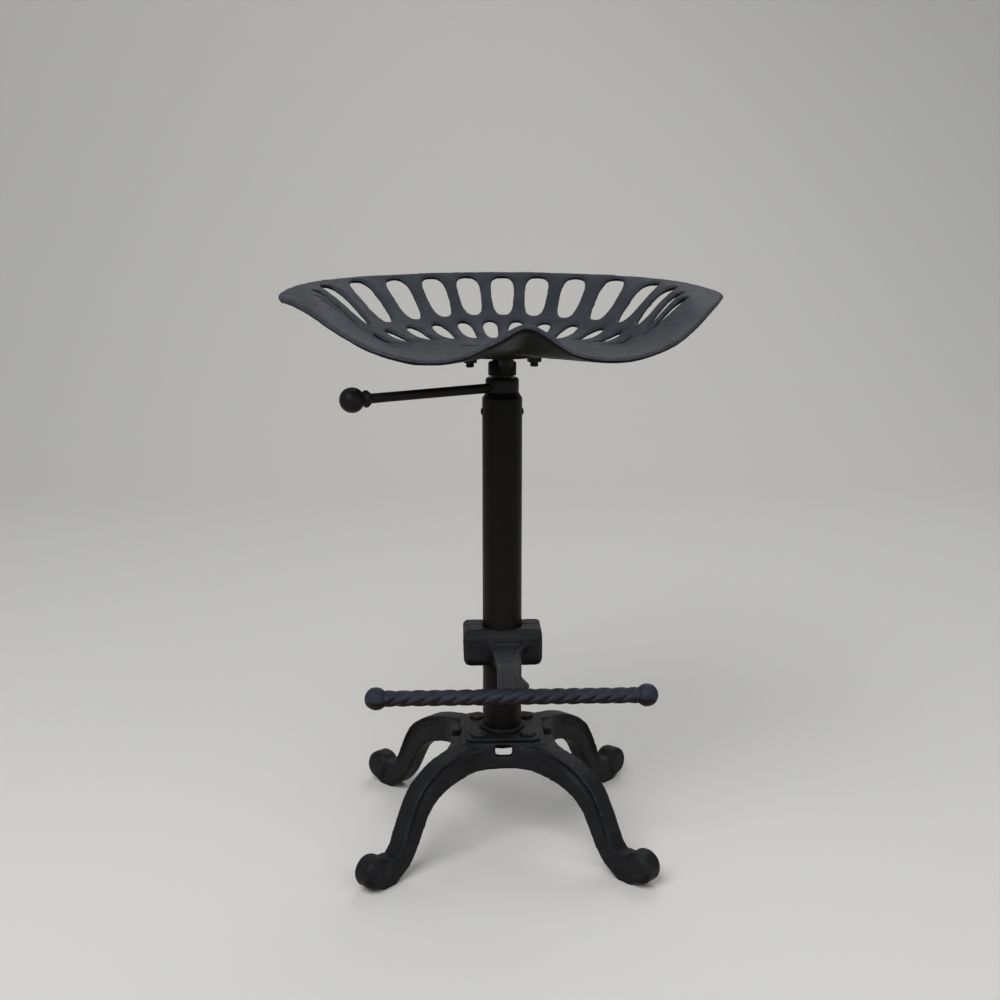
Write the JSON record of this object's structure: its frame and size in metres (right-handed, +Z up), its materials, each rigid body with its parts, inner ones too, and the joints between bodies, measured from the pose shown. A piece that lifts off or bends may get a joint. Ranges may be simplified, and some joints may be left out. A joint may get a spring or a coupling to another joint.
{
  "type": "tractor seat stool",
  "caption": "Height-adjustable stool with a slotted cast bucket seat on a screw post, ball-ended lock lever, sliding twisted footrest bar and cast legs with scroll feet.",
  "frame": {"origin": "on the floor, below the middle of the stool's bounding box and on the post's axis", "axes": "+Z up along the post, -Y towards the sitter's knees, the side with the footrest bar and the seat's pommel, +X to the right of someone looking at that side"},
  "size_m": [0.4338, 0.3453, 0.5756],
  "materials": {
    "seat_iron": "satin blue-grey, slightly mottled",
    "base_iron": "satin dark blue-grey, rough casting",
    "bar_iron": "satin slate grey",
    "post_paint": "satin brown-black",
    "lever_paint": "satin black",
    "dark_steel": "blackened, a little rust-brown on the bolt heads",
    "screw_steel": "dark oiled steel",
    "guide_nylon": "plain"
  },
  "bodies": {
    "stand": {"base_casting": "base_iron", "post_flange": "base_iron", "flange_bolts": "dark_steel", "flange_washers": "dark_steel", "flange_nuts": "dark_steel", "post_tube": "post_paint", "post_weld": "post_paint", "post_nut": "post_paint", "insert_rivets": "post_paint"},
    "guide": {"guide_bush": "guide_nylon"},
    "seat": {"lift_screw": "screw_steel", "screw_end_washer": "dark_steel", "screw_end_nut": "dark_steel", "seat_hub": "post_paint", "hub_grub_screw": "dark_steel", "seat_plate": "post_paint", "seat_bolts": "dark_steel", "seat_washers": "dark_steel", "seat_nuts": "dark_steel", "seat_pan": "seat_iron"},
    "lock_lever": {"lock_hub": "lever_paint", "lever_rod": "lever_paint", "lever_ferrule": "lever_paint", "lever_ball": "lever_paint"},
    "footrest": {"footrest_bracket": "base_iron", "collar_cap": "base_iron", "collar_bolts": "dark_steel", "collar_washers": "dark_steel", "foot_bar": "bar_iron", "foot_bar_ball_left": "bar_iron", "foot_bar_ball_right": "bar_iron"}
  },
  "joints": [
    {"name": "seat_lift", "type": "slide", "parent": "stand", "child": "guide", "axis": [0, 0, 1], "range_m": [0, 0.1601]},
    {"name": "seat_turn", "type": "hinge", "parent": "guide", "child": "seat", "pos_m": [0, 0, 0.25], "axis": [0, 0, 1], "range_deg": [0, 7200]},
    {"name": "lock_turn", "type": "hinge", "parent": "stand", "child": "lock_lever", "pos_m": [0, 0, 0.474], "axis": [0, 0, 1], "range_deg": [0, 120]},
    {"name": "footrest_slide", "type": "slide", "parent": "stand", "child": "footrest", "axis": [0, 0, 1], "range_m": [-0.035, 0.205]}
  ],
  "couplings": [
    {"joint": "seat_lift", "follows": "seat_turn", "m_per_rad": 0.0012732}
  ]
}
